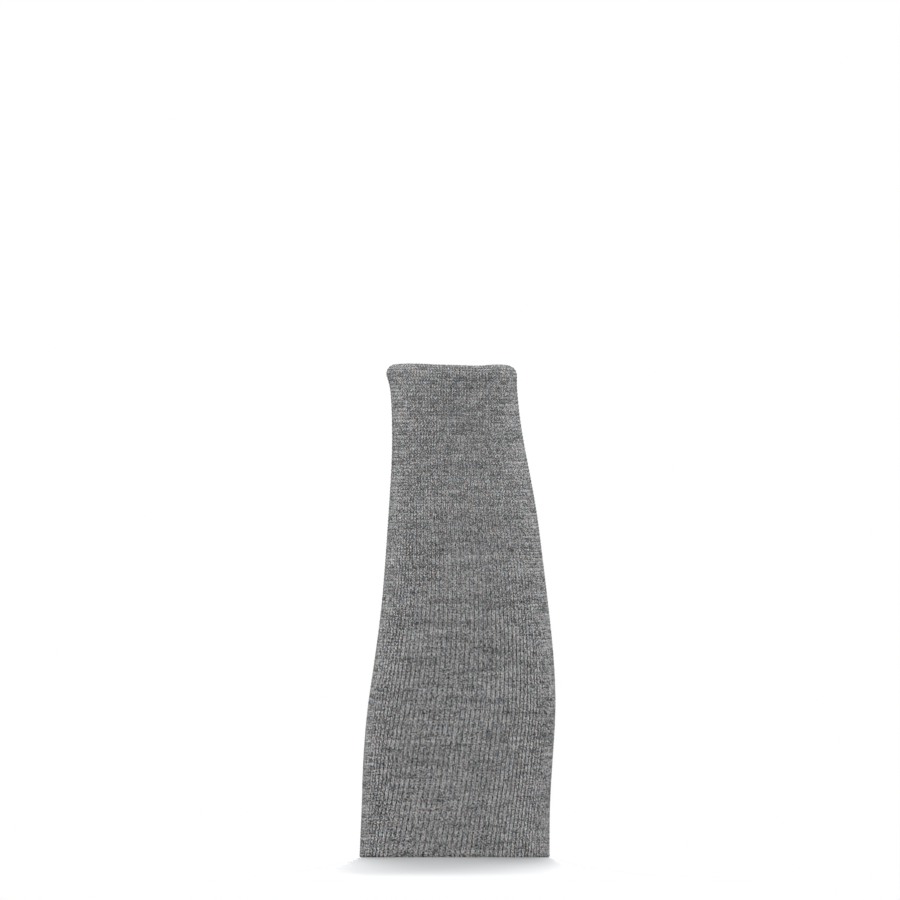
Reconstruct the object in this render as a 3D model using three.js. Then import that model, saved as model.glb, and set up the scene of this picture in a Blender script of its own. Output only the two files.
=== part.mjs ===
// Cut resistant sleeve: a seamless knitted tube for the forearm, in the form that it has when it is
// worn with the hand pointing up. Millimetres, +Z up, -Y is the side over the back of the forearm.
// The origin is the centre of the elbow opening, in the plane of its edge.
//
// The real sleeve is knitted in one go and has no seam, so it is one solid. Its wall goes up the
// outside, rolls inwards over the fold of the wrist welt, comes back down the inside as the turned
// hem and then as a single layer, and closes on the flat elbow edge.

import * as THREE from "three";
import { LoftGeometry } from "three/addons/geometries/LoftGeometry.js";

// Driving sizes of the tube
const SLEEVE_LENGTH = 305; // elbow edge to wrist fold, a 12 inch sleeve
const ELBOW_BREADTH = 117.2; // side to side at the elbow edge
const WRIST_BREADTH = 77.8; // side to side just under the welt
const ELBOW_DEPTH_RATIO = 0.965; // front to back over side to side, nearly round
const WRIST_DEPTH_RATIO = 0.79; // a wrist is flatter than a forearm
const AXIS_BOW = 6.45; // how far the middle of the sleeve stands to +X of its two ends
const SECTION_SLANT = THREE.MathUtils.degToRad(-16); // turns the forward bulge of the oval to -X
const KNIT_THICKNESS = 2; // one layer of 10 gauge knit

// Driving sizes of the wrist welt, a hem that is turned in and knitted together double
const WELT_HEIGHT = 15; // fold to the inner edge of the turned hem
const WELT_THICKNESS = 3.4; // two layers of knit, drawn tight
const WELT_BULGE = 1.35; // how far the welt stands out beyond the wrist below it
const FOLD_DROP = 6; // height over which the welt rounds in towards the wrist
const FOLD_INSET = 5.4; // how far it is drawn in by then
const HEM_STEP = 3; // height over which the hem's edge thins out to one layer

// Finish of the knit, a heather grey yarn
const YARN_COLOUR = 0x797a7a;
const YARN_ROUGHNESS = 0.92;

// Fineness of the facets
const AROUND = 64;
const BODY_ROWS = 18;
const SHOULDER_ROWS = 3;
const FOLD_ROWS = 6;
const INNER_FOLD_ROWS = 3;
const NOSE_ROWS = 5;

// Sections of the forearm that fills the sleeve, from the elbow edge to the wrist fold.
//   up      share of SLEEVE_LENGTH
//   spread  breadth, from 0 for WRIST_BREADTH to 1 for ELBOW_BREADTH
//   bow     share of AXIS_BOW
//   round   depth ratio, from 0 for WRIST_DEPTH_RATIO to 1 for ELBOW_DEPTH_RATIO
//   slant   share of SECTION_SLANT
const SECTIONS = [
  { up: 0.00, spread: 1.00, bow: 0.00, round: 1.00, slant: 1.00 },
  { up: 0.10, spread: 0.97, bow: 0.12, round: 0.94, slant: 0.96 },
  { up: 0.20, spread: 0.99, bow: 0.33, round: 0.83, slant: 0.92 },
  { up: 0.30, spread: 0.97, bow: 0.67, round: 0.66, slant: 0.86 },
  { up: 0.40, spread: 0.83, bow: 0.93, round: 0.46, slant: 0.73 },
  { up: 0.50, spread: 0.65, bow: 1.00, round: 0.28, slant: 0.58 },
  { up: 0.60, spread: 0.49, bow: 0.92, round: 0.12, slant: 0.46 },
  { up: 0.70, spread: 0.34, bow: 0.78, round: 0.03, slant: 0.33 },
  { up: 0.80, spread: 0.15, bow: 0.49, round: 0.00, slant: 0.24 },
  { up: 0.87, spread: 0.04, bow: 0.20, round: 0.04, slant: 0.18 },
  { up: 0.95, spread: 0.00, bow: -0.09, round: 0.08, slant: 0.12 },
  { up: 1.00, spread: 0.00, bow: -0.41, round: 0.10, slant: 0.08 },
];
const COLUMNS = ["spread", "bow", "round", "slant"];
const sectionCurve = new THREE.CubicInterpolant(
  SECTIONS.map((row) => row.up),
  SECTIONS.flatMap((row) => COLUMNS.map((column) => row[column])),
  COLUMNS.length,
);

// The oval of the outer face at a height: its half breadth and half depth, the place of its centre
// and the slant that moves its forward bulge to one side.
function ovalAt(height) {
  const [spread, bow, round, slant] = sectionCurve.evaluate(height / SLEEVE_LENGTH);
  const shoulder = THREE.MathUtils.smoothstep(
    height,
    SLEEVE_LENGTH - WELT_HEIGHT,
    SLEEVE_LENGTH - FOLD_DROP,
  );
  const breadth = THREE.MathUtils.lerp(WRIST_BREADTH, ELBOW_BREADTH, spread);
  const depthRatio = THREE.MathUtils.lerp(WRIST_DEPTH_RATIO, ELBOW_DEPTH_RATIO, round);
  const bulge = WELT_BULGE * shoulder;
  return {
    halfBreadth: breadth / 2 + bulge,
    halfDepth: (breadth * depthRatio) / 2 + bulge,
    centreX: AXIS_BOW * bow,
    slant: SECTION_SLANT * slant,
  };
}

// One ring of points round the sleeve, a given depth inside its outer face. The outer face reaches
// the half breadth and the half depth however much its oval slants, and the inset is taken square
// to it.
function ringAt({ height, inset }) {
  const oval = ovalAt(height);
  const points = [];
  for (let step = 0; step < AROUND; step++) {
    const turn = (2 * Math.PI * step) / AROUND;
    const outer = new THREE.Vector3(
      oval.centreX + oval.halfBreadth * Math.sin(turn),
      -oval.halfDepth * Math.cos(turn - oval.slant),
      height,
    );
    const inwards = new THREE.Vector3(
      -oval.halfDepth * Math.sin(turn - oval.slant),
      oval.halfBreadth * Math.cos(turn),
      0,
    ).normalize();
    points.push(outer.addScaledVector(inwards, inset));
  }
  return points;
}

// Points of a quarter or half oval in the wall's section, as heights and insets.
function wallArc(centre, radiusIn, radiusUp, fromAngle, toAngle, rows) {
  const points = [];
  for (let row = 0; row <= rows; row++) {
    const angle = THREE.MathUtils.lerp(fromAngle, toAngle, row / rows);
    const inset = centre.inset - radiusIn * Math.cos(angle);
    const height = centre.height + radiusUp * Math.sin(angle);
    points.push({ height, inset });
  }
  return points;
}

// The closed section of the wall, as heights and insets: up the outside, over the fold, down the
// inside and back along the elbow edge.
function wallSection() {
  const quarter = Math.PI / 2;
  const weltFoot = SLEEVE_LENGTH - WELT_HEIGHT;
  const roundFoot = SLEEVE_LENGTH - FOLD_DROP;
  const bodyFoot = weltFoot - HEM_STEP;
  const bodyHeights = [];
  for (let row = 0; row <= BODY_ROWS; row++) {
    bodyHeights.push((bodyFoot * row) / BODY_ROWS);
  }

  const outside = bodyHeights.map((height) => ({ height, inset: 0 }));
  for (let row = 0; row < SHOULDER_ROWS; row++) {
    outside.push({
      height: THREE.MathUtils.lerp(weltFoot, roundFoot, row / SHOULDER_ROWS),
      inset: 0,
    });
  }

  const roundCentre = { height: roundFoot, inset: FOLD_INSET };
  const outerRound = wallArc(roundCentre, FOLD_INSET, FOLD_DROP, 0, quarter, FOLD_ROWS);

  const noseRadius = WELT_THICKNESS / 2;
  const noseCentre = { height: SLEEVE_LENGTH - noseRadius, inset: FOLD_INSET };
  const nose = wallArc(noseCentre, noseRadius, noseRadius, quarter, 3 * quarter, NOSE_ROWS);

  const innerRadiusIn = FOLD_INSET - WELT_THICKNESS;
  const innerRadiusUp = FOLD_DROP - WELT_THICKNESS;
  const innerRound = wallArc(
    roundCentre,
    innerRadiusIn,
    innerRadiusUp,
    quarter,
    0,
    INNER_FOLD_ROWS,
  );

  const hemEdge = { height: weltFoot, inset: WELT_THICKNESS };
  const inside = bodyHeights.toReversed().map((height) => ({ height, inset: KNIT_THICKNESS }));

  return [...outside, ...outerRound, ...nose.slice(1), ...innerRound.slice(1), hemEdge, ...inside];
}

// The sleeve
function makeSleeve() {
  const section = wallSection();
  const rings = [...section, section[0]].map(ringAt);
  const material = new THREE.MeshStandardMaterial({
    color: YARN_COLOUR,
    roughness: YARN_ROUGHNESS,
    metalness: 0,
  });
  const sleeve = new THREE.Mesh(new LoftGeometry(rings), material);
  sleeve.name = "knit_sleeve";
  return sleeve;
}

const part = new THREE.Group();
part.add(makeSleeve());

export default part;
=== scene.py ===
# %% [markdown]
# A knitted cut resistant sleeve
#
# The real sleeve is one seamless tube of thick, heather grey knit, worn from the wrist to the elbow.
# A machine knits it round and round, stitch above stitch, and turns the last rows inwards to make the
# wrist welt. The frame holds it as one plain solid. In this lesson we dress that solid as the cloth
# really is: a thin ground of cloth, thousands of V-shaped stitches on it, a yarn of mixed fibres, and
# a quiet white studio. Every length is in metres, and the front of the sleeve looks to -Y.

# %% Load the frame
import math

import bpy
import numpy as np
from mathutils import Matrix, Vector
from mathutils.bvhtree import BVHTree


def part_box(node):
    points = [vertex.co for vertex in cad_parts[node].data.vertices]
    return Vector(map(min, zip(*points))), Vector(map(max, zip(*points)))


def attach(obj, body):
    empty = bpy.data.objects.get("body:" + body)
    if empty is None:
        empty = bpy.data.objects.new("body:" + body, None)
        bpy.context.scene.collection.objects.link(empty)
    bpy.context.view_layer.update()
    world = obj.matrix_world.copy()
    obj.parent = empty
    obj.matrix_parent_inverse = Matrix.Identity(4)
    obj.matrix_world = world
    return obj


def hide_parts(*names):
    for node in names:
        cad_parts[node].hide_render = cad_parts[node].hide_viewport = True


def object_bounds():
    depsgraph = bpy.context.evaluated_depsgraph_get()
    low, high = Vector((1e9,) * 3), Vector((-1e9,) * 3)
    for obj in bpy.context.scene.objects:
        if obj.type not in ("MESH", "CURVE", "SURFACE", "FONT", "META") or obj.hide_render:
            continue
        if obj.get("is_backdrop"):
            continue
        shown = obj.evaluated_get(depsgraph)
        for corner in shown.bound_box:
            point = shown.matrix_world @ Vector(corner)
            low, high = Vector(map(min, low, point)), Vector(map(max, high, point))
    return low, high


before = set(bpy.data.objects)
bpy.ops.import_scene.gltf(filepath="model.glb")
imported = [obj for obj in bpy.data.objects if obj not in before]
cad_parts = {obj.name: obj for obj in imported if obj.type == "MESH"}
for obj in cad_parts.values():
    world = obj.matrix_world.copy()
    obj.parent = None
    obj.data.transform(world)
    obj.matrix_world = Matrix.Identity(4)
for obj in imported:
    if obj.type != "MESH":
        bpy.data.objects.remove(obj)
solid_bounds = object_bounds()
MM = 0.001
print("the solid's box in mm:", [[round(value / MM, 1) for value in corner] for corner in solid_bounds])

# %% [markdown]
# Measuring the solid
#
# All that we make has to lie on the solid, from whatever side it is seen. Its sizes could be copied by
# hand, but then a change in the solid would leave the stitches behind. So it is measured: rays fly in
# at many heights and from all round, and each says how far out the face is. The solid has flat facets,
# which real cloth hasn't. A Fourier filter keeps the slow waves of each ring, and a soft average up the
# sleeve does the same for the bends between its rows.

# %% Measure how far out the face is
DIRECTIONS = 144
MEASURED_ROWS = 150
SLOW_WAVES = 12
AVERAGE_REACH = 2  # rows
WELT_ROUNDING = 6.0 * MM  # the top of the sleeve, where its face starts to roll inwards
LOWEST_RAY = 0.5 * MM
RAY_START = 0.3

lowest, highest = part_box("knit_sleeve")
shoulder_height = highest.z - WELT_ROUNDING
turns = np.linspace(-math.pi, math.pi, DIRECTIONS, endpoint=False)  # 0 is the front
measured_heights = np.linspace(LOWEST_RAY, shoulder_height, MEASURED_ROWS)
solid_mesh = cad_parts["knit_sleeve"].data
solid_faces = BVHTree.FromPolygons(
    [vertex.co for vertex in solid_mesh.vertices],
    [polygon.vertices for polygon in solid_mesh.polygons],
)


def face_radius(turn, height):
    """Distance of the outer face from the upright axis, in one direction and at one height."""
    outwards = Vector((math.sin(turn), -math.cos(turn), 0.0))
    start = outwards * RAY_START + Vector((0.0, 0.0, height))
    distance = solid_faces.ray_cast(start, -outwards)[3]
    return RAY_START - distance


def without_facets(radii):
    """The radii with only the slow waves round each ring, averaged softly up the sleeve."""
    waves = np.fft.rfft(radii, axis=1)
    waves[:, SLOW_WAVES:] = 0
    rounded = np.fft.irfft(waves, DIRECTIONS, axis=1)
    span = np.arange(-3 * AVERAGE_REACH, 3 * AVERAGE_REACH + 1)
    weights = np.exp(-0.5 * (span / AVERAGE_REACH) ** 2)
    weights /= weights.sum()
    margins = ((span[-1], span[-1]), (0, 0))
    padded = np.pad(rounded, margins, mode="reflect", reflect_type="odd")
    return sum(weight * padded[i : i + MEASURED_ROWS] for i, weight in enumerate(weights))


measured = np.array([[face_radius(turn, height) for turn in turns] for height in measured_heights])
face_radii = without_facets(measured)
moved = np.abs(face_radii - measured).max() / MM
print(f"{measured.size} rays; taking the facets away moves the face by {moved:.2f} mm at most")

# %% [markdown]
# Rows and columns of the knit
#
# A row of stitches that runs round the sleeve is a course, and a column that runs up it is a wale. The
# number of wales is the same at the wrist and at the elbow, because the machine drops no stitch: the
# cloth is only stretched wider over the forearm. On the arm the wales also lean a little, since the
# sleeve is pulled on with a slight turn. Courses lie about 2 mm apart, and a little more at the wrist.
# The wales go up the outside, over the fold of the welt, and a short way down inside.
#
# We work this out as one grid of points with numpy, with a few steps for each course. Every later piece
# takes its places from this grid, so that the stitches and their ground can't drift apart.

# %% Lay out the courses
WALES = 108
STEPS = 4  # steps of the grid for each course
COUNTED_HEIGHTS = 4000  # heights at which the courses are counted
EDGE_LIFT = 0.25 * MM  # keeps the loops of the first course off the floor
COURSE_TABLE = [
    {"up": 0.00, "height": 2.0 * MM},
    {"up": 0.70, "height": 2.0 * MM},
    {"up": 0.86, "height": 2.4 * MM},
    {"up": 1.00, "height": 2.4 * MM},
]
LEAN_TABLE = [  # the lean is in degrees round the sleeve
    {"up": 0.00, "lean": 15.0},
    {"up": 0.15, "lean": 8.5},
    {"up": 0.30, "lean": 5.3},
    {"up": 0.45, "lean": 4.4},
    {"up": 0.58, "lean": 4.5},
    {"up": 0.72, "lean": 6.5},
    {"up": 0.86, "lean": 5.7},
    {"up": 0.98, "lean": 0.5},
]


def from_table(table, column, shares):
    """A column of a table, read at shares of the sleeve's height."""
    return np.interp(shares, [row["up"] for row in table], [row[column] for row in table])


def course_steps():
    """Heights of the grid's steps from the elbow edge to the shoulder of the welt."""
    fine = np.linspace(EDGE_LIFT, shoulder_height, COUNTED_HEIGHTS)
    heights = from_table(COURSE_TABLE, "height", fine / highest.z)
    counted = np.concatenate([[0.0], np.cumsum(np.diff(fine) / heights[1:])])
    courses = round(counted[-1])
    counted *= courses / counted[-1]
    return np.interp(np.arange(courses * STEPS + 1) / STEPS, counted, fine)


step_heights = course_steps()
body_courses = (len(step_heights) - 1) // STEPS
print(f"{body_courses} courses from the elbow edge to the shoulder of the welt")

# %% [markdown]
# The welt is the tricky part. Seen in section it rolls in over a quarter oval, turns round a small nose
# of two layers of knit, and hangs down inside. We draw that line once, as heights and insets from the
# shoulder, and cut it into courses of equal length.

# %% Draw the section of the welt
WELT_INSET = 5.4 * MM  # how far in the nose lies
WELT_LAYERS = 3.4 * MM  # both layers of the welt together
HEM_DROP = 9.0 * MM  # how far the turned hem hangs below the shoulder
WELT_COURSES = 13
ARC_POINTS = 90


def welt_section():
    """Insets and heights of the grid's steps over the fold, counted from the shoulder."""
    quarter = np.linspace(0.0, math.pi / 2, ARC_POINTS)
    half = np.linspace(math.pi / 2, 3 * math.pi / 2, ARC_POINTS)
    nose = WELT_LAYERS / 2
    inset = [
        WELT_INSET * (1 - np.cos(quarter)),
        WELT_INSET - nose * np.cos(half),
        WELT_INSET - (WELT_INSET - WELT_LAYERS) * np.cos(quarter[::-1]),
        [WELT_LAYERS],
    ]
    height = [
        WELT_ROUNDING * np.sin(quarter),
        WELT_ROUNDING - nose + nose * np.sin(half),
        (WELT_ROUNDING - WELT_LAYERS) * np.sin(quarter[::-1]),
        [-HEM_DROP],
    ]
    inset = np.concatenate(inset)
    height = np.concatenate(height)
    along = np.concatenate([[0.0], np.cumsum(np.hypot(np.diff(inset), np.diff(height)))])
    steps = np.linspace(0.0, along[-1], WELT_COURSES * STEPS + 1)[1:]
    print(f"the welt's section is {along[-1] / MM:.1f} mm long")
    return np.interp(steps, along, inset), np.interp(steps, along, height)


welt_insets, welt_heights = welt_section()

# %% [markdown]
# Now each step gets its ring of 108 points, one for each wale, at equal distances round the sleeve. The
# rim of the real welt isn't a flat circle. It dips by up to about two millimetres on its way round, and
# a short table of dips, softened into one smooth line, gives it that.

# %% Lay out the wales
RIM_REACH = 10.0 * MM  # the dips fade out this far below the shoulder
RIM_TABLE = [
    {"turn": -180, "dip": 1.9 * MM},
    {"turn": -120, "dip": 1.6 * MM},
    {"turn": -90, "dip": 0.9 * MM},
    {"turn": -45, "dip": 0.0 * MM},
    {"turn": -15, "dip": 1.0 * MM},
    {"turn": 5, "dip": 0.8 * MM},
    {"turn": 32, "dip": 1.9 * MM},
    {"turn": 60, "dip": 0.3 * MM},
    {"turn": 95, "dip": 2.2 * MM},
    {"turn": 140, "dip": 2.0 * MM},
    {"turn": 180, "dip": 1.9 * MM},
]
DIP_SOFTNESS = 5  # wales on each side


def wale_ring(height):
    """The ring of wales at one height, as x and y."""
    radii = np.array([np.interp(height, measured_heights, column) for column in face_radii.T])
    x = radii * np.sin(turns)
    y = -radii * np.cos(turns)
    x = np.append(x, x[0])
    y = np.append(y, y[0])
    along = np.concatenate([[0.0], np.cumsum(np.hypot(np.diff(x), np.diff(y)))])
    front = slice(DIRECTIONS // 4, 3 * DIRECTIONS // 4 + 1)
    middle = np.interp((x.min() + x.max()) / 2, x[front], along[front])
    lean = from_table(LEAN_TABLE, "lean", height / highest.z) / 360
    place = (middle + along[-1] * (np.arange(WALES) / WALES - lean)) % along[-1]
    return np.interp(place, along, x), np.interp(place, along, y)


def rim_dips(shoulder):
    """How far the rim dips at each wale."""
    azimuths = np.degrees(np.arctan2(shoulder[:, 0], -shoulder[:, 1]))
    dips = np.interp(azimuths, [row["turn"] for row in RIM_TABLE], [row["dip"] for row in RIM_TABLE])
    span = range(-DIP_SOFTNESS, DIP_SOFTNESS + 1)
    return sum(np.roll(dips, shift) for shift in span) / len(span)


def knit_grid():
    """Points of the outer face for each step and wale, from the elbow edge to inside the hem."""
    rings = [np.column_stack([*wale_ring(height), np.full(WALES, height)]) for height in step_heights]
    shoulder = rings[-1]
    ahead = np.roll(shoulder, -1, axis=0) - np.roll(shoulder, 1, axis=0)
    inwards = np.column_stack([-ahead[:, 1], ahead[:, 0], np.zeros(WALES)])
    inwards /= np.linalg.norm(inwards, axis=1)[:, None]
    for inset, height in zip(welt_insets, welt_heights):
        rings.append(shoulder + inwards * inset + [0.0, 0.0, height])
    grid = np.array(rings)
    rise = np.concatenate([step_heights, np.full(len(welt_heights), shoulder_height)])
    share = np.clip((rise - shoulder_height + RIM_REACH) / RIM_REACH, 0, 1)
    share = share * share * (3 - 2 * share)
    grid[..., 2] -= rim_dips(shoulder) * share[:, None]
    return grid


def directions_of(grid):
    """For each point of the grid: across to the next wale, up to the next course, and outwards."""
    across = (np.roll(grid, -1, axis=1) - np.roll(grid, 1, axis=1)) / 2
    upwards = np.gradient(grid, axis=0) * STEPS
    outwards = np.cross(across, upwards)
    outwards /= np.linalg.norm(outwards, axis=2)[..., None]
    return across, upwards, outwards


grid = knit_grid()
across, upwards, outwards = directions_of(grid)
wale_widths = np.linalg.norm(across, axis=2)
course_heights = np.linalg.norm(upwards, axis=2)
print(f"grid of {grid.shape[0]} steps and {WALES} wales")
print(f"wales {wale_widths.min() / MM:.2f} to {wale_widths.max() / MM:.2f} mm wide")

# %% [markdown]
# A short way to write node trees
#
# Shader and geometry trees are both built in code here. Written out in full, each sum is a node and two
# links, and the idea drowns. So one small class wraps a socket and lets Python's own + - * / make the
# Math nodes, and one method makes every other node from its type, its settings and its inputs.

# %% Wrap sockets and trees
class Wire:
    """An output socket that can be calculated with."""

    def __init__(self, web, socket):
        self.web = web
        self.socket = socket

    def math(self, operation, *others):
        return self.web.math(operation, self, *others)

    def __add__(self, other):
        return self.math("ADD", other)

    def __radd__(self, other):
        return self.web.math("ADD", other, self)

    def __sub__(self, other):
        return self.math("SUBTRACT", other)

    def __rsub__(self, other):
        return self.web.math("SUBTRACT", other, self)

    def __mul__(self, other):
        return self.math("MULTIPLY", other)

    def __rmul__(self, other):
        return self.web.math("MULTIPLY", other, self)

    def __truediv__(self, other):
        return self.math("DIVIDE", other)

    def __mod__(self, other):
        return self.math("FLOORED_MODULO", other)


class Web:
    """A node tree, with one way to add any node."""

    def __init__(self, tree):
        self.tree = tree

    def node(self, kind, settings=None, inputs=None):
        """Adds a node: its settings first, then values or wires by the name or number of the input."""
        made = self.tree.nodes.new(kind)
        for name, value in (settings or {}).items():
            setattr(made, name, value)
        for key, value in (inputs or {}).items():
            socket = find_socket(made.inputs, key)
            if isinstance(value, Wire):
                self.tree.links.new(value.socket, socket)
            else:
                socket.default_value = value
        return made

    def wire(self, kind, output, settings=None, inputs=None):
        """Adds a node and gives one of its outputs."""
        made = self.node(kind, settings, inputs)
        return Wire(self, find_socket(made.outputs, output))

    def math(self, operation, *values):
        return self.wire("ShaderNodeMath", "Value", {"operation": operation}, dict(enumerate(values)))

    def vector(self, operation, *values):
        inputs = dict(enumerate(values))
        return self.wire("ShaderNodeVectorMath", "Vector", {"operation": operation}, inputs)

    def scaled(self, vector, factor):
        inputs = {0: vector, "Scale": factor}
        return self.wire("ShaderNodeVectorMath", "Vector", {"operation": "SCALE"}, inputs)


def find_socket(sockets, key):
    """The socket with that number, or the first one in use with that name."""
    if isinstance(key, int):
        return sockets[key]
    return next(socket for socket in sockets if socket.enabled and socket.name == key)


print("a Web makes nodes, and a Wire adds, multiplies and subtracts them")

# %% [markdown]
# The heather yarn
#
# The yarn is spun from dark and light fibres, a mix that knitters call heather. Three things show in it.
# Along a course the blend drifts, so a run of 3 to 10 stitches is darker or lighter than the course
# above it, because the courses come from different stretches of the yarn. Each leg of a stitch differs
# a little from its neighbour. And close up single fibres show as specks, alone and in tufts.
#
# Two painted shades are laid over that. Towards the wrist the cloth is stretched less, so its stitches
# are packed closer, and there the yarn is painted a little darker, as shade, and more even. On the fold
# of the welt one looks in between the loops, into shade, and the rim is painted a touch darker than the
# cloth below it. More than a touch would be wrong: the yarn has to look right in any light, not only
# under this studio's high sun.
#
# An image could hold all this, but it would blur close up and need a seam. Noise does it without either.
# The drift reads an attribute of the stitches, their place in the knit wrapped round a circle, so it
# follows the cloth. The fibres read object coordinates, as they are much finer than a stitch.

# %% Mix the yarn
DARK_FIBRE = (0.017, 0.018, 0.0195, 1.0)
LIGHT_FIBRE = (0.382, 0.385, 0.379, 1.0)
WARM_TINT = (1.12, 0.99, 0.93, 1.0)
COOL_TINT = (0.90, 1.01, 1.09, 1.0)
FIBRE_SCALE = 2600.0
FIBRE_CONTRAST = 4.2
TUFT_SCALE = 2000.0
TUFT_CONTRAST = 3.4
TINT_SCALE = 1100.0
TINT_CONTRAST = 3.0
LONG_DRIFT = {"wales": 11.0, "seed": 3.1, "contrast": 0.9}
SHORT_DRIFT = {"wales": 3.0, "seed": 17.4, "contrast": 0.4}
COURSE_CHANGE = 2.3  # how far the drift's noise moves on from one course to the next
PAINTED_END_SHADE = 0.40  # painted shade where the yarn dives behind its neighbours
PAINTED_WRIST_SHADE = 0.18  # painted shade: how much darker the yarn is painted towards the wrist
WRIST_CALM = 0.25  # how much of its contrast it loses there
EVEN_SHARE = 0.4  # the share of light fibres that the contrast shrinks to
PAINTED_FOLD_SHADE = 0.08  # painted shade: how much darker it is over the welt's fold
FOLD_COURSES = 2.5  # the courses over which that comes
KNIT_ROUGHNESS = 0.92


def noise(web, place, scale, detail=1.0, roughness=0.5):
    """A noise between about -0.5 and 0.5."""
    inputs = {"Vector": place, "Scale": scale, "Detail": detail, "Roughness": roughness}
    return web.wire("ShaderNodeTexNoise", "Fac", {}, inputs) - 0.5


def drift(web, knit_place, wales, seed, contrast):
    """The blend's drift along the yarn: slow along a course, and new in each course."""
    stretch = web.vector("MULTIPLY", knit_place, (1 / wales, 1 / wales, COURSE_CHANGE))
    moved = web.vector("ADD", stretch, (seed, seed, seed))
    return noise(web, moved, 1.0) * contrast


def clamped(web, value):
    return web.math("MINIMUM", web.math("MAXIMUM", value, 0.0), 1.0)


def course_of(web, knit_place):
    """The course of a place in the knit, counted from the elbow edge."""
    parts = web.node("ShaderNodeSeparateXYZ", {}, {"Vector": knit_place})
    return Wire(web, parts.outputs["Z"])


def way_up(web, knit_place):
    """How far up the knit a place lies, from 0 at the elbow edge to 1 at the shoulder of the welt."""
    return course_of(web, knit_place) * (1 / body_courses)


def single_fibres(web, place):
    """The finest noise, which both the colour and the bump read."""
    return noise(web, place, FIBRE_SCALE, 2.0, 0.6)


def yarn_blend(web, place, knit_place, middle):
    """The share of light fibres: drifts, tufts and single fibres, less painted shade at wrist and fold."""
    drifts = drift(web, knit_place, **LONG_DRIFT) + drift(web, knit_place, **SHORT_DRIFT)
    tufts = noise(web, place, TUFT_SCALE, 0.0) * TUFT_CONTRAST
    specks = tufts + single_fibres(web, place) * FIBRE_CONTRAST
    # Painted shade: the yarn is darkened towards the wrist, and over the welt's fold between the loops.
    fold = clamped(web, (course_of(web, knit_place) - body_courses) / FOLD_COURSES)
    shade = way_up(web, knit_place) * PAINTED_WRIST_SHADE + fold * PAINTED_FOLD_SHADE
    return middle + drifts + specks - shade


def mixed(web, factor, first, second, blend="MIX"):
    """Two colours mixed by a factor."""
    settings = {"data_type": "RGBA", "blend_type": blend}
    inputs = {"Factor": factor, "A": first, "B": second}
    return web.wire("ShaderNodeMix", "Result", settings, inputs)


def fibre_colour(web, place, knit_place, blend):
    """Fibres mixed by the blend, a bit more evenly near the wrist, with a trace of warm and cool."""
    up = way_up(web, knit_place)
    share = clamped(web, blend)
    share = (share - EVEN_SHARE) * (1.0 - up * up * WRIST_CALM) + EVEN_SHARE
    grey = mixed(web, share, DARK_FIBRE, LIGHT_FIBRE)
    hue = noise(web, place, TINT_SCALE) * TINT_CONTRAST + 0.5
    tint = mixed(web, clamped(web, hue), WARM_TINT, COOL_TINT)
    return mixed(web, 1.0, grey, tint, "MULTIPLY")


def cloth_shader(web, colour, height, depth):
    """The matt cloth surface, with a bump of that depth in metres."""
    bump = {"Height": height, "Distance": depth, "Strength": 1.0}
    inputs = {
        "Base Color": colour,
        "Roughness": KNIT_ROUGHNESS,
        "Specular IOR Level": 0.0,
        "Normal": web.wire("ShaderNodeBump", "Normal", {}, bump),
    }
    surface = web.wire("ShaderNodeBsdfPrincipled", "BSDF", {}, inputs)
    web.node("ShaderNodeOutputMaterial", {}, {"Surface": surface})


def new_material(name):
    """An empty material and the web of its nodes."""
    material = bpy.data.materials.new(name)
    material.use_nodes = True
    material.node_tree.nodes.clear()
    return material, Web(material.node_tree)


def attribute(web, name, output):
    return web.wire("ShaderNodeAttribute", output, {"attribute_name": name})


def object_place(web):
    return web.wire("ShaderNodeTexCoord", "Object")


# %% [markdown]
# On the stitches the yarn also shows its ply, two strands twisted round each other. A sine of the place
# along and around the yarn gives those slanting ridges, as a bump of a twentieth of a millimetre. Each
# leg's colour is painted darker towards its two ends, as shade, where light hardly gets in behind its
# neighbours.

# %% Make the yarn of the stitches
PLY_TURNS = 2.0
PLY_STRANDS = 2.0
PLY_DEPTH = 0.05 * MM
FUZZ = 1.5  # how far single fibres stand out, in depths of the ply
LEG_CONTRAST = 0.4
STITCH_BLEND = 0.50


def heather_yarn():
    material, web = new_material("heather yarn")
    place = object_place(web)
    knit_place = attribute(web, "knit_place", "Vector")
    leg_tone = attribute(web, "leg_tone", "Fac")
    yarn = web.wire("ShaderNodeUVMap", "UV", {"uv_map": "yarn"})
    parts = web.node("ShaderNodeSeparateXYZ", {}, {"Vector": yarn})
    along = Wire(web, parts.outputs["X"])
    around = Wire(web, parts.outputs["Y"])
    from_middle = along * 2.0 - 1.0
    # The legs' ends are painted darker, as shade where they dive behind their neighbours.
    blend = (
        yarn_blend(web, place, knit_place, STITCH_BLEND)
        + (leg_tone - 0.5) * LEG_CONTRAST
        - from_middle * from_middle * PAINTED_END_SHADE
    )
    ply = web.math("SINE", (along * PLY_TURNS + around * PLY_STRANDS) * (2 * math.pi))
    colour = fibre_colour(web, place, knit_place, blend)
    cloth_shader(web, colour, ply * 0.5 + single_fibres(web, place) * FUZZ, PLY_DEPTH)
    return material


stitch_material = heather_yarn()
print("yarn material:", len(stitch_material.node_tree.nodes), "nodes")

# %% [markdown]
# The ground
#
# Behind the V-shaped stitches lies the back of the loops. Through the gaps between the wales one sees
# it as a ladder of small bars, and inside the sleeve it shows as the purl side, with a ridge for each
# course. Modelling every back loop would double the number of stitches for something that is hardly
# seen, so this piece is one closed shell of cloth. The rows of its mesh fall on the courses and stand
# out and in by turns, which makes the ridges real. Between the wales a bump shapes them into loops.

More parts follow.
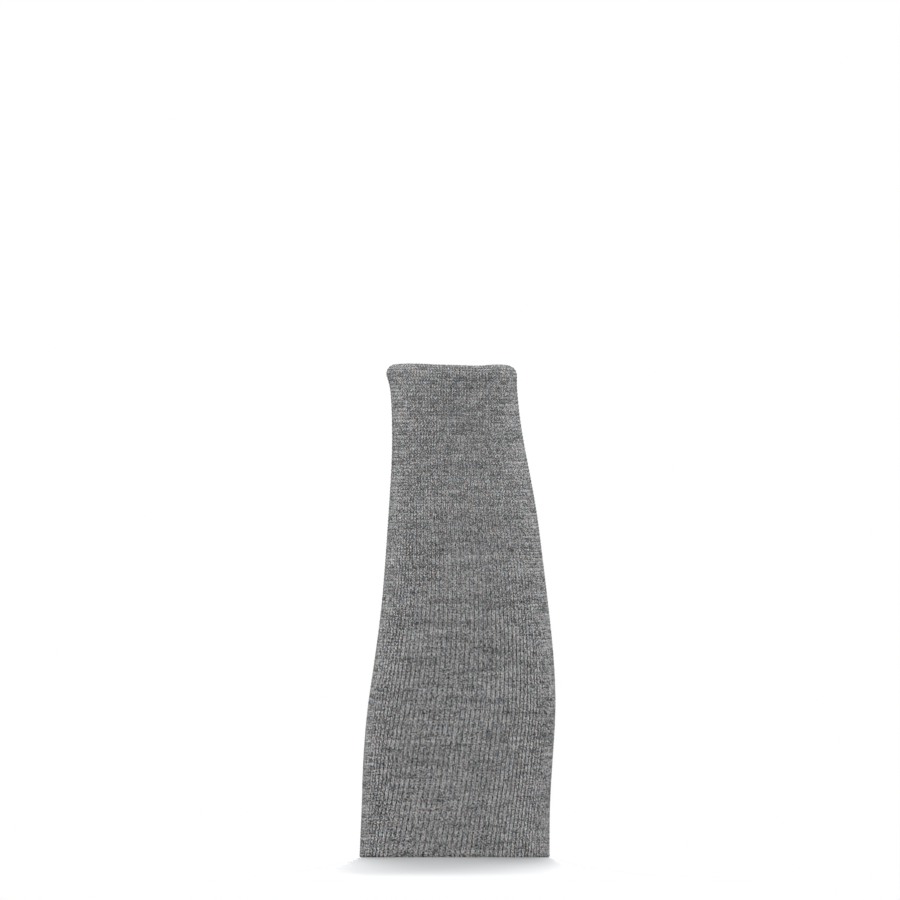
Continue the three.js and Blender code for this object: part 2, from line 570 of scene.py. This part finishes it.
# %% Knit the ground
GROUND_DEPTH = 1.1 * MM  # below the outer face
INNER_DEPTH = 1.85 * MM
PURL_RIDGE = 0.35 * MM
BAR_RIDGE = 0.15 * MM
RIM_BULGE = 0.3 * MM  # the rounded elbow edge
RIM_COURSE = -0.1  # where that edge lies, counted in courses
HEM_STEP = 2.0 * MM  # the height over which the hem's edge thins out to one layer
BAKE_MAP = "OFBake"


def ground_rings():
    """Rings of the shell and the course of each, round its whole section."""
    last = len(grid) - 1
    body_end = body_courses * STEPS
    rings = []
    courses = []
    for step in range(0, last + 1, STEPS // 2):
        ridge = BAR_RIDGE * (step % STEPS == 0)
        rings.append(grid[step] - outwards[step] * (GROUND_DEPTH - ridge))
        courses.append(step / STEPS)
    outer_rings = len(rings)
    hem_edge = int(np.searchsorted(step_heights, shoulder_height - HEM_DROP - HEM_STEP))
    hem_edge -= hem_edge % STEPS
    for step in range(min(hem_edge, body_end), -1, -STEPS // 2):
        ridge = PURL_RIDGE * (step % STEPS == 0)
        rings.append(grid[step] - outwards[step] * (INNER_DEPTH + ridge))
        courses.append(step / STEPS)
    edge = grid[0] - outwards[0] * (GROUND_DEPTH + INNER_DEPTH) / 2
    rings.append(edge - [0.0, 0.0, RIM_BULGE])
    courses.append(RIM_COURSE)
    return np.array(rings), np.array(courses), outer_rings


def add_attribute(mesh, name, kind, domain, values):
    """Stores an array on a mesh as a named attribute."""
    field = "value" if kind in ("FLOAT", "INT") else "vector"
    made = mesh.attributes.new(name, kind, domain)
    made.data.foreach_set(field, np.ascontiguousarray(values, dtype=np.float32).ravel())


def knit_places(courses):
    """Wale and course of each point, with the wales wrapped round a circle so that no seam shows."""
    angle = 2 * math.pi * np.arange(WALES) / WALES
    circle = np.column_stack([np.cos(angle), np.sin(angle)]) * WALES / (2 * math.pi)
    return np.array([np.column_stack([circle, np.full(WALES, course)]) for course in courses])


def make_ground():
    rings, courses, outer_rings = ground_rings()
    count = len(rings)
    row, wale = np.meshgrid(np.arange(count), np.arange(WALES), indexing="ij")
    above = (row + 1) % count
    beside = (wale + 1) % WALES
    corners = [(row, wale), (row, beside), (above, beside), (above, wale)]
    faces = np.stack([r * WALES + w for r, w in corners], axis=2).reshape(-1, 4)
    mesh = bpy.data.meshes.new("knit_ground")
    mesh.from_pydata(rings.reshape(-1, 3).tolist(), [], faces.tolist())

    right = np.array([0, 1, 1, 0])
    up = np.array([0, 0, 1, 1])
    u = (wale.reshape(-1, 1) + right) / WALES
    next_course = courses[above.reshape(-1, 1)]
    v = np.where(up == 0, courses[row.reshape(-1, 1)], next_course) / (body_courses + WELT_COURSES)
    add_attribute(mesh, "knit", "FLOAT2", "CORNER", np.stack([u, v], axis=2))
    inner = row.reshape(-1, 1) >= outer_rings - 1
    outer_share = (row.reshape(-1, 1) + up) / outer_rings
    inner_share = (row.reshape(-1, 1) + up - outer_rings + 1) / (count - outer_rings + 1)
    bake_v = np.where(inner, 0.5 + 0.5 * inner_share, 0.5 * outer_share)
    add_attribute(mesh, BAKE_MAP, "FLOAT2", "CORNER", np.stack([u, bake_v], axis=2))
    add_attribute(mesh, "knit_place", "FLOAT_VECTOR", "POINT", knit_places(courses))
    mesh.polygons.foreach_set("use_smooth", np.ones(len(faces), bool))
    mesh.update()
    ground = bpy.data.objects.new("knit_ground", mesh)
    bpy.context.scene.collection.objects.link(ground)
    print(f"ground: {len(faces) * 2} triangles")
    return ground


ground = make_ground()

# %% [markdown]
# The purl side gets its loops from a bump: an arch on the ridge for each wale, which fades out on its
# way to the next one. The colours come from the same yarn as the stitches, but painted a good deal darker.
# The gaps between the wales are shaded by the light itself, though less deeply than on the real sleeve,
# and the darker ground is painted shade that makes up for that. The inside of the sleeve gets the same
# painted dark shade with it. Its bars are painted lighter and the holes between them darker.

# %% Make the cloth of the ground
LOOP_DEPTH = 0.35 * MM
LOOP_FUZZ = 0.4  # how far single fibres stand out, in depths of the loops
LOOP_ARCH = 0.18  # how far a loop's arch rises, in courses
# The ground's yarn is painted a good deal darker than the stitches, as shade in the gaps between them.
GROUND_BLEND_WITH_PAINTED_SHADE = 0.08
PAINTED_BAR_SHADE = 0.15  # painted light and shade: bars lighter than that, holes between darker


def heather_ground():
    material, web = new_material("heather ground")
    place = object_place(web)
    knit_place = attribute(web, "knit_place", "Vector")
    chart = web.wire("ShaderNodeUVMap", "UV", {"uv_map": "knit"})
    parts = web.node("ShaderNodeSeparateXYZ", {}, {"Vector": chart})
    wale = Wire(web, parts.outputs["X"]) * WALES
    course = Wire(web, parts.outputs["Y"]) * (body_courses + WELT_COURSES)
    # Painted light and shade: the bars are lighter and the holes between them darker.
    bars = web.math("COSINE", course * (2 * math.pi)) * PAINTED_BAR_SHADE
    blend = yarn_blend(web, place, knit_place, GROUND_BLEND_WITH_PAINTED_SHADE) + bars
    arch = web.math("COSINE", wale * (2 * math.pi)) * LOOP_ARCH
    loops = web.math("COSINE", (course + arch) * (2 * math.pi))
    sides = web.math("ABSOLUTE", web.math("COSINE", wale * math.pi))
    colour = fibre_colour(web, place, knit_place, blend)
    fuzz = single_fibres(web, place) * LOOP_FUZZ
    cloth_shader(web, colour, loops * sides + fuzz, LOOP_DEPTH)
    return material


ground.data.materials.append(heather_ground())
print("ground material:", len(ground.data.materials[0].node_tree.nodes), "nodes")

# %% [markdown]
# The stitches
#
# One knit stitch shows on the face of the cloth as a V. Each leg comes up from behind the stitch below,
# bends over to the front, leans outwards and dives behind the stitch above. We draw one leg as a short
# table of points, where `thick` thins the yarn to nothing at its two hidden ends, and mirror it.

# %% Draw the two legs of a stitch
STITCH_WIDTH = 2.3 * MM
STITCH_HEIGHT = 2.0 * MM
LEG_TABLE = [
    {"across": 0.20, "along": -1.32, "out": -0.52, "thick": 0.00},
    {"across": 0.33, "along": -0.80, "out": 0.02, "thick": 0.85},
    {"across": 0.50, "along": 0.08, "out": 0.22, "thick": 1.00},
    {"across": 0.69, "along": 0.95, "out": 0.06, "thick": 0.88},
    {"across": 0.86, "along": 1.72, "out": -0.52, "thick": 0.00},
]


def make_leg_path():
    """A curve with the two legs of one stitch, 2.3 mm wide and 2 mm high."""
    curve = bpy.data.curves.new("leg path", "CURVE")
    curve.dimensions = "3D"
    for side in (-1, 1):
        spline = curve.splines.new("POLY")
        spline.points.add(len(LEG_TABLE) - 1)
        for point, row in zip(spline.points, LEG_TABLE):
            point.co = (side * row["across"] * MM, row["along"] * MM, row["out"] * MM, 1.0)
            point.radius = row["thick"]
    path = bpy.data.objects.new("leg path", curve)
    bpy.context.scene.collection.objects.link(path)
    return path


leg_path = make_leg_path()
print("leg path:", len(leg_path.data.splines), "splines of", len(LEG_TABLE), "points")

# %% [markdown]
# Geometry Nodes then put that stitch on every point of the grid. Copying it by a loop in Python would
# work too, but the tree shows each step in the editor, and its sizes can be changed there by hand. The
# tree sweeps a four-sided yarn along the path, welds its ends, and places it with Instance on Points.
# Each point brings its own directions, so the stitch stands square to the cloth there.
#
# A stitch is as long as the welt's nose is round, so a stiff copy would stick out there like a splinter.
# After the copies are made real, Set Position bends each along the curve of the cloth. A random number
# for each leg goes to the shader, and a little unevenness keeps the rows from looking machined.

# %% Build the tree that knits
TREE_INPUTS = [
    ("Geometry", "NodeSocketGeometry"),
    ("Leg Path", "NodeSocketObject"),
    ("Yarn Radius", "NodeSocketFloat"),
    ("Yarn Sides", "NodeSocketInt"),
    ("Unevenness", "NodeSocketFloat"),
    ("Bake Cells", "NodeSocketInt"),
    ("Seed", "NodeSocketInt"),
    ("Yarn", "NodeSocketMaterial"),
]
WELD_DISTANCE = 0.002 * MM
CELL_MARGIN = 0.08


def stored(web, geometry, name, kind, domain, value):
    """The geometry with a named attribute stored on it."""
    settings = {"data_type": kind, "domain": domain}
    inputs = {"Geometry": geometry, "Name": name, "Value": value}
    return web.wire("GeometryNodeStoreNamedAttribute", "Geometry", settings, inputs)


def named(web, name, kind="FLOAT"):
    """A named attribute as a field."""
    settings = {"data_type": kind}
    return web.wire("GeometryNodeInputNamedAttribute", "Attribute", settings, {"Name": name})


def random_between(web, low, high, number, seed):
    """A random value that is the same for all points with that number."""
    inputs = {"Min": low, "Max": high, "ID": number, "Seed": seed}
    return web.wire("FunctionNodeRandomValue", "Value", {"data_type": "FLOAT"}, inputs)


def swept_stitch(web, given):
    """Both legs as welded yarn, with the place along and around the yarn as their UV map."""
    factor = web.wire("GeometryNodeSplineParameter", "Factor")
    which = web.wire("GeometryNodeSplineParameter", "Index")
    path = web.wire("GeometryNodeObjectInfo", "Geometry", {}, {"Object": given["Leg Path"]})
    path = stored(web, path, "along_yarn", "FLOAT", "POINT", factor)
    section = {
        "Resolution": given["Yarn Sides"] + 1,
        "Radius": given["Yarn Radius"],
        "Sweep Angle": 2 * math.pi,
    }
    ring = web.wire("GeometryNodeCurveArc", "Curve", {"mode": "RADIUS"}, section)
    ring = stored(web, ring, "around_yarn", "FLOAT", "POINT", factor)
    thick = web.wire("GeometryNodeInputRadius", "Radius")
    sweep = {"Curve": path, "Profile Curve": ring, "Scale": thick}
    yarn = web.wire("GeometryNodeCurveToMesh", "Mesh", {}, sweep)
    flat = {"X": named(web, "along_yarn"), "Y": named(web, "around_yarn")}
    chart = web.wire("ShaderNodeCombineXYZ", "Vector", {}, flat)
    yarn = stored(web, yarn, "yarn", "FLOAT2", "CORNER", chart)
    weld = {"Geometry": yarn, "Distance": WELD_DISTANCE}
    yarn = web.wire("GeometryNodeMergeByDistance", "Geometry", {}, weld)
    place = web.wire("GeometryNodeInputPosition", "Position")
    parts = web.node("ShaderNodeSeparateXYZ", {}, {"Vector": place})
    side = Wire(web, parts.outputs["X"]).math("GREATER_THAN", 0.0)
    yarn = stored(web, yarn, "side", "FLOAT", "POINT", side)
    return stored(web, yarn, "leg_place", "FLOAT_VECTOR", "POINT", place)


def placed_stitches(web, given, stitch):
    """A stitch on every point, square to the cloth, with a little unevenness."""
    number = web.wire("GeometryNodeInputIndex", "Index")
    points = stored(web, given["Geometry"], "stitch_number", "FLOAT", "POINT", number)
    axes = {
        "Primary Axis": named(web, "facing", "FLOAT_VECTOR"),
        "Secondary Axis": named(web, "upwards", "FLOAT_VECTOR"),
    }
    settings = {"primary_axis": "Z", "secondary_axis": "Y"}
    square = web.wire("FunctionNodeAxesToRotation", "Rotation", settings, axes)
    uneven = given["Unevenness"]
    tilt = random_between(web, -0.5, 0.5, number, given["Seed"]) * uneven
    turn = web.wire("ShaderNodeCombineXYZ", "Vector", {}, {"Z": tilt})
    turn = web.wire("FunctionNodeEulerToRotation", "Rotation", {}, {"Euler": turn})
    local = {"rotation_space": "LOCAL"}
    rotate = {"Rotation": square, "Rotate By": turn}
    turned = web.wire("FunctionNodeRotateRotation", "Rotation", local, rotate)
    growth = random_between(web, -0.5, 0.5, number, given["Seed"] + 1) * uneven + 1.0
    scale = web.scaled(named(web, "stretch", "FLOAT_VECTOR"), growth)
    inputs = {"Points": points, "Instance": stitch, "Rotation": turned, "Scale": scale}
    copies = web.wire("GeometryNodeInstanceOnPoints", "Instances", {}, inputs)
    return web.wire("GeometryNodeRealizeInstances", "Geometry", {}, {"Geometry": copies})


def bent_stitches(web, stitches):
    """The stitches bent along the cloth's own curve."""
    parts = web.node("ShaderNodeSeparateXYZ", {}, {"Vector": named(web, "leg_place", "FLOAT_VECTOR")})
    sizes = web.node("ShaderNodeSeparateXYZ", {}, {"Vector": named(web, "stretch", "FLOAT_VECTOR")})
    reach = Wire(web, parts.outputs["Y"]) * Wire(web, sizes.outputs["Y"])
    bend = named(web, "bend")
    inwards = web.scaled(named(web, "facing", "FLOAT_VECTOR"), bend * reach * reach * -0.5)
    shorter = bend * bend * reach * reach * reach * (-1 / 6)
    backwards = web.scaled(named(web, "upwards", "FLOAT_VECTOR"), shorter)
    inputs = {"Geometry": stitches, "Offset": web.vector("ADD", inwards, backwards)}
    return web.wire("GeometryNodeSetPosition", "Geometry", {}, inputs)


def finished_stitches(web, given, stitches):
    """Adds each leg's random tone and its own cell of the bake map, and the material."""
    leg = named(web, "stitch_number") * 2.0 + named(web, "side")
    tone = random_between(web, 0.0, 1.0, leg, given["Seed"] + 2)
    stitches = stored(web, stitches, "leg_tone", "FLOAT", "POINT", tone)
    cells = given["Bake Cells"]
    column = leg % cells
    row = (leg / cells).math("FLOOR")
    inner = 1 - 2 * CELL_MARGIN
    u = (column + named(web, "along_yarn") * inner + CELL_MARGIN) / cells
    parts = web.node("ShaderNodeSeparateXYZ", {}, {"Vector": named(web, "yarn", "FLOAT_VECTOR")})
    v = (row + Wire(web, parts.outputs["Y"]) * inner + CELL_MARGIN) / cells
    chart = web.wire("ShaderNodeCombineXYZ", "Vector", {}, {"X": u, "Y": v})
    stitches = stored(web, stitches, BAKE_MAP, "FLOAT2", "CORNER", chart)
    stitches = web.wire("GeometryNodeSetShadeSmooth", "Geometry", {}, {"Geometry": stitches})
    inputs = {"Geometry": stitches, "Material": given["Yarn"]}
    return web.wire("GeometryNodeSetMaterial", "Geometry", {}, inputs)


def knitting_tree():
    tree = bpy.data.node_groups.new("knit stitches", "GeometryNodeTree")
    for name, kind in TREE_INPUTS:
        tree.interface.new_socket(name, in_out="INPUT", socket_type=kind)
    tree.interface.new_socket("Geometry", in_out="OUTPUT", socket_type="NodeSocketGeometry")
    web = Web(tree)
    entry = web.node("NodeGroupInput")
    given = {name: Wire(web, entry.outputs[name]) for name, _kind in TREE_INPUTS}
    stitches = placed_stitches(web, given, swept_stitch(web, given))
    stitches = finished_stitches(web, given, bent_stitches(web, stitches))
    web.node("NodeGroupOutput", {}, {"Geometry": stitches})
    print("knitting tree:", len(tree.nodes), "nodes")
    return tree


knitting = knitting_tree()

# %% [markdown]
# Knitting the sleeve in bands
#
# All the stitches together are some eight hundred thousand triangles, which is a lot for one mesh to be
# unwrapped or printed. So the sleeve is knitted in six bands of courses that meet edge to edge. For each
# band we make a cloud of points with their directions and sizes as attributes, give it the tree, and turn
# the result into a plain mesh. A stitch grows wider with its wale only up to a point: past it the yarn
# has no more to give, and a gap opens that shows the ground.

# %% Knit the bands
STITCH_DEPTH = 0.45 * MM  # below the outer face, so that the yarn's crests lie on it
TIGHT_WIDTH = 2.25 * MM
GIVE = 0.12  # how much of any further stretch the stitch follows
YARN_RADIUS = 0.5 * MM
YARN_SIDES = 4
UNEVENNESS = 0.08
KNIT_SEED = 11
BANDS = [
    "stitches_elbow",
    "stitches_forearm",
    "stitches_middle",
    "stitches_lower_arm",
    "stitches_wrist",
    "stitches_welt",
]
WORKING_ATTRIBUTES = ("facing", "upwards", "stretch", "bend", "stitch_number", "side", "leg_place")


def cloth_bend():
    """How sharply the cloth curves away along each wale, per metre."""
    units = upwards / course_heights[..., None]
    change = np.gradient(units, axis=0) * STEPS / course_heights[..., None]
    return -(change * outwards).sum(axis=2)


def stitch_cloud(name, courses, bends):
    """Points for the stitches of some courses, with what the tree reads from them."""
    steps = courses * STEPS + STEPS // 2
    places = grid[steps] - outwards[steps] * STITCH_DEPTH
    widths = wale_widths[steps]
    widths = np.where(widths > TIGHT_WIDTH, TIGHT_WIDTH + (widths - TIGHT_WIDTH) * GIVE, widths)
    heights = course_heights[steps]
    stretch = np.stack([widths / STITCH_WIDTH, heights / STITCH_HEIGHT, np.ones(widths.shape)], axis=2)
    mesh = bpy.data.meshes.new(name)
    mesh.from_pydata(places.reshape(-1, 3).tolist(), [], [])
    add_attribute(mesh, "facing", "FLOAT_VECTOR", "POINT", outwards[steps])
    add_attribute(mesh, "upwards", "FLOAT_VECTOR", "POINT", upwards[steps] / heights[..., None])
    add_attribute(mesh, "stretch", "FLOAT_VECTOR", "POINT", stretch)
    add_attribute(mesh, "bend", "FLOAT", "POINT", bends[steps])
    add_attribute(mesh, "knit_place", "FLOAT_VECTOR", "POINT", knit_places(courses))
    cloud = bpy.data.objects.new(name, mesh)
    bpy.context.scene.collection.objects.link(cloud)
    return cloud


def knit_band(cloud, seed):
    """Runs the tree on a cloud of points and keeps the result as a plain mesh."""
    modifier = cloud.modifiers.new("knit", "NODES")
    modifier.node_group = knitting
    legs = 2 * len(cloud.data.vertices)
    values = {
        "Leg Path": leg_path,
        "Yarn Radius": YARN_RADIUS,
        "Yarn Sides": YARN_SIDES,
        "Unevenness": UNEVENNESS,
        "Bake Cells": math.ceil(math.sqrt(legs)),
        "Seed": seed,
        "Yarn": stitch_material,
    }
    for item in knitting.interface.items_tree:
        if item.name in values and item.in_out == "INPUT":
            modifier[item.identifier] = values[item.name]
    depsgraph = bpy.context.evaluated_depsgraph_get()
    evaluated = cloud.evaluated_get(depsgraph)
    mesh = bpy.data.meshes.new_from_object(evaluated, preserve_all_data_layers=True, depsgraph=depsgraph)
    cloud.modifiers.clear()
    cloud.data = mesh
    for name in WORKING_ATTRIBUTES:
        if name in mesh.attributes:
            mesh.attributes.remove(mesh.attributes[name])
    mesh.name = cloud.name
    triangles = sum(len(polygon.vertices) - 2 for polygon in mesh.polygons)
    print(f"{cloud.name}: {legs} legs, {triangles} triangles")
    return triangles


all_courses = np.arange(body_courses + WELT_COURSES)
bends = cloth_bend()
stitches = []
total = 0
for number, (name, courses) in enumerate(zip(BANDS, np.array_split(all_courses, len(BANDS)))):
    band = stitch_cloud(name, courses, bends)
    total += knit_band(band, KNIT_SEED + 10 * number)
    stitches.append(band)
bpy.data.objects.remove(leg_path)
print(f"{len(all_courses)} courses, {total} triangles of yarn")

# %% [markdown]
# The studio
#
# The sleeve stands in plain white light, as for a catalogue. The view is level and without perspective,
# and at that height a flat floor would be a line. So the floor falls away gently all round the elbow
# edge, which lets the soft shadow at its foot be seen. A white world lights everything evenly. The floor
# is a middling grey, and a strong sun high behind the sleeve is what makes it white, all but the strip
# at its foot that the sleeve shades.
#
# A knitted tube looks brighter at its two edges, because there one sees only the crests of the stitches
# and no gaps. A low sun from the front evens that out, since it lights the middle most. One from behind
# does the same for that side, and a weak one from the front left makes the wales on the right stand out.

# %% Lay the floor
FLOOR_FALL = 0.0135
FLOOR_REACH = 0.03
FLOOR_DISTANCES = [0.0, 0.004, 0.01, 0.02, 0.035, 0.055, 0.08, 0.12, 0.18, 0.27, 0.4, 0.7, 1.2, 2.0]
FLOOR_COLOUR = (0.37, 0.375, 0.38, 1.0)


def make_floor():
    foot = grid[0][:, :2]
    ahead = np.roll(foot, -1, axis=0) - np.roll(foot, 1, axis=0)
    away = np.column_stack([ahead[:, 1], -ahead[:, 0]])
    away /= np.linalg.norm(away, axis=1)[:, None]
    rings = []
    for distance in FLOOR_DISTANCES:
        fall = FLOOR_FALL * (1 - math.exp(-distance / FLOOR_REACH))
        rings.append(np.column_stack([foot + away * distance, np.full(WALES, -fall)]))
    faces = [tuple(range(WALES))]
    for ring in range(len(rings) - 1):
        for place in range(WALES):
            beside = (place + 1) % WALES
            low = ring * WALES
            faces.append((low + place, low + WALES + place, low + WALES + beside, low + beside))
    mesh = bpy.data.meshes.new("floor")
    mesh.from_pydata(np.concatenate(rings).tolist(), [], faces)
    mesh.polygons.foreach_set("use_smooth", np.ones(len(faces), bool))
    floor = bpy.data.objects.new("floor", mesh)
    bpy.context.scene.collection.objects.link(floor)
    material, web = new_material("pale floor")
    inputs = {"Base Color": FLOOR_COLOUR, "Roughness": 0.9, "Specular IOR Level": 0.1}
    surface = web.wire("ShaderNodeBsdfPrincipled", "BSDF", {}, inputs)
    web.node("ShaderNodeOutputMaterial", {}, {"Surface": surface})
    mesh.materials.append(material)
    floor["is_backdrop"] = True
    print("floor:", len(faces), "faces")


make_floor()

# %% Set the lights
WORLD_STRENGTH = 1.0
SUNS = [  # the softness is a sun's width in degrees
    {"name": "high sun", "strength": 5.3, "softness": 13, "from": (0.045, 0.20, 1.0)},
    {"name": "side sun", "strength": 0.12, "softness": 20, "from": (-1.0, -0.8, 0.3)},
    {"name": "front sun", "strength": 3.8, "softness": 30, "from": (0.0, -1.0, 0.08)},
    {"name": "back sun", "strength": 2.4, "softness": 10, "from": (0.0, 1.0, 0.10)},
]


def set_lights():
    world = bpy.data.worlds.new("white studio")
    world.use_nodes = True
    world.node_tree.nodes.clear()
    web = Web(world.node_tree)
    inputs = {"Color": (1.0, 1.0, 1.0, 1.0), "Strength": WORLD_STRENGTH}
    light = web.wire("ShaderNodeBackground", "Background", {}, inputs)
    web.node("ShaderNodeOutputWorld", {}, {"Surface": light})
    bpy.context.scene.world = world
    for row in SUNS:
        sun = bpy.data.lights.new(row["name"], "SUN")
        sun.energy = row["strength"]
        sun.angle = math.radians(row["softness"])
        lamp = bpy.data.objects.new(row["name"], sun)
        lamp.rotation_euler = Vector(row["from"]).to_track_quat("Z", "Y").to_euler()
        bpy.context.scene.collection.objects.link(lamp)
    bpy.context.scene.view_settings.view_transform = "Standard"
    print("a white world and", len(SUNS), "suns")


set_lights()

# %% [markdown]
# The camera stands level in front of the sleeve. The photograph gives its framing: how many pixels there
# are to a metre, and the pixels at which the sleeve's axis and its lower edge lie.

# %% Place the camera
PICTURE_SIDE = 900
PIXELS_PER_METRE = 1620
AXIS_PIXEL = 454.5
EDGE_PIXEL = 857.3
CAMERA_DISTANCE = 1.5


def place_camera():
    data = bpy.data.cameras.new("camera")
    data.type = "ORTHO"
    data.ortho_scale = PICTURE_SIDE / PIXELS_PER_METRE
    camera = bpy.data.objects.new("camera", data)
    right = (PICTURE_SIDE / 2 - AXIS_PIXEL) / PIXELS_PER_METRE
    up = (EDGE_PIXEL - PICTURE_SIDE / 2) / PIXELS_PER_METRE
    camera.location = (right, -CAMERA_DISTANCE, up)
    camera.rotation_euler = (math.radians(90), 0.0, 0.0)
    bpy.context.scene.collection.objects.link(camera)
    bpy.context.scene.camera = camera
    print("the picture is", round(data.ortho_scale, 4), "m wide")


place_camera()

# %% [markdown]
# Attaching the pieces
#
# Every piece moves with the sleeve's one body, and the plain solid is hidden. The box of the solid and
# the box of what is shown are then measured and printed. A worn sleeve doesn't show the cloth's relaxed
# size, as it comes off the machine; a usual figure for such a coarse knit is 108 wales of 2.35 mm round,
# and the tube's length with an allowance for the turned hem.

for piece in [ground, *stitches]:
    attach(piece, "root")
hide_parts("knit_sleeve")

model_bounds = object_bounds()
sizes = {
    "cad": [list(corner) for corner in solid_bounds],
    "visual": [list(corner) for corner in model_bounds],
}
for name, corners in sizes.items():
    print(name, [[round(value / MM, 2) for value in corner] for corner in corners])
